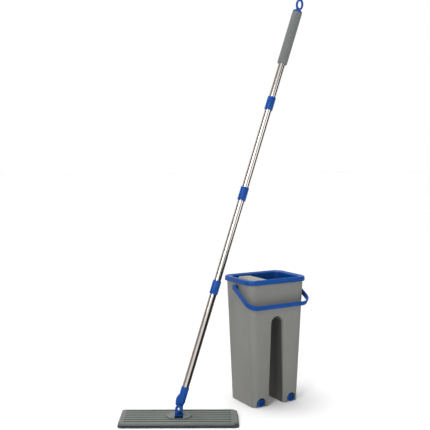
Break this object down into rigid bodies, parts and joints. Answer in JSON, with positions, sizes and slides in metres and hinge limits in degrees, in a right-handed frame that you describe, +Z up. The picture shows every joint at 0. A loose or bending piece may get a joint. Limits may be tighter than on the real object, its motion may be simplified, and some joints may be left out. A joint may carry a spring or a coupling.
{
  "type": "flat mop with bucket",
  "caption": "Flat mop with a jointed sectional handle and a fabric pad, beside its two-legged wash and wring bucket with a bail handle, a sprung scraper and screw drain plugs.",
  "frame": {"origin": "on the floor, at the middle of the footprint of the mop and the bucket together", "axes": "+Z up, -Y the bucket's front face, +X the bucket's right as seen from its front"},
  "size_m": [0.5932, 0.2556, 1.2006],
  "materials": {
    "grey_plastic": "smooth grey moulded plastic",
    "blue_plastic": "satin blue moulded plastic",
    "deep_blue_plastic": "satin deep blue moulded plastic",
    "light_grey_plastic": "smooth light grey plastic",
    "plate_plastic": "ribbed grey-green plastic",
    "grip_plastic": "soft grey foam sleeve",
    "polished_steel": "polished stainless steel",
    "zinc_steel": "zinc plated steel",
    "dark_rubber": "soft black rubber",
    "hook_fabric": "black hook tape",
    "pad_fabric": "dark microfibre pile",
    "binding_fabric": "dark woven binding tape"
  },
  "bodies": {
    "bucket": {"bucket_shell": "grey_plastic", "collar": "blue_plastic", "scraper_axle": "zinc_steel", "scraper_spring_front": "zinc_steel", "scraper_spring_back": "zinc_steel"},
    "scraper": {"scraper_plate": "light_grey_plastic", "scraper_blade": "dark_rubber"},
    "bail": {"bail": "blue_plastic"},
    "drain_seal_left": {"drain_seal_left": "dark_rubber"},
    "drain_knob_left": {"drain_knob_left": "blue_plastic"},
    "drain_seal_right": {"drain_seal_right": "dark_rubber"},
    "drain_knob_right": {"drain_knob_right": "blue_plastic"},
    "mop_head": {"mop_plate": "plate_plastic", "joint_boss": "plate_plastic", "boss_screw_1": "zinc_steel", "boss_screw_2": "zinc_steel", "boss_screw_3": "zinc_steel", "boss_screw_4": "zinc_steel", "cross_pin": "polished_steel", "hook_strip_front": "hook_fabric", "hook_strip_back": "hook_fabric", "pad_binding": "binding_fabric", "mop_pad": "pad_fabric"},
    "swivel": {"hinge_block": "deep_blue_plastic", "tilt_pin": "polished_steel", "tilt_nut": "zinc_steel"},
    "handle": {"neck": "deep_blue_plastic", "tube_1": "polished_steel", "tube_2": "polished_steel", "tube_3": "polished_steel", "tube_4": "polished_steel", "connector_1": "deep_blue_plastic", "connector_2": "deep_blue_plastic", "connector_3": "deep_blue_plastic", "connector_plug_1": "deep_blue_plastic", "connector_plug_2": "deep_blue_plastic", "connector_plug_3": "deep_blue_plastic", "grip": "grip_plastic", "hang_cap": "deep_blue_plastic"}
  },
  "joints": [
    {"name": "bail_swing", "type": "hinge", "parent": "bucket", "child": "bail", "pos_m": [0.18543, 0.0396, 0.352], "axis": [-1, 0, 0], "range_deg": [0, 239]},
    {"name": "scraper_rock", "type": "hinge", "parent": "bucket", "child": "scraper", "pos_m": [0.15843, 0.0396, 0.3635], "axis": [0, -1, 0], "range_deg": [0, 14], "stiffness_Nm_per_rad": 0.6, "springref_deg": -14.32},
    {"name": "drain_left_out", "type": "slide", "parent": "bucket", "child": "drain_seal_left", "axis": [0, -1, 0], "range_m": [0, 0.006]},
    {"name": "drain_left_turn", "type": "hinge", "parent": "drain_seal_left", "child": "drain_knob_left", "pos_m": [0.13093, -0.0204, 0.0123], "axis": [0, -1, 0], "range_deg": [0, 1080]},
    {"name": "drain_right_out", "type": "slide", "parent": "bucket", "child": "drain_seal_right", "axis": [0, -1, 0], "range_m": [0, 0.006]},
    {"name": "drain_right_turn", "type": "hinge", "parent": "drain_seal_right", "child": "drain_knob_right", "pos_m": [0.23992, -0.0204, 0.0123], "axis": [0, -1, 0], "range_deg": [0, 1080]},
    {"name": "mop_lift", "type": "slide", "parent": "bucket", "child": "mop_head", "axis": [0, 0, 1], "range_m": [0, 0.45]},
    {"name": "head_tilt", "type": "hinge", "parent": "mop_head", "child": "swivel", "pos_m": [-0.12857, 0, 0.016], "axis": [-0.866, 0.5, 0], "range_deg": [-54.26, 35.74]},
    {"name": "neck_tilt", "type": "hinge", "parent": "swivel", "child": "handle", "pos_m": [-0.12713, 0.00251, 0.03377], "axis": [0.4935, 0.8547, -0.1609], "range_deg": [-78.76, 69.24]}
  ],
  "couplings": [
    {"joint": "drain_left_out", "follows": "drain_left_turn", "m_per_rad": 0.0003183},
    {"joint": "drain_right_out", "follows": "drain_right_turn", "m_per_rad": 0.0003183}
  ]
}
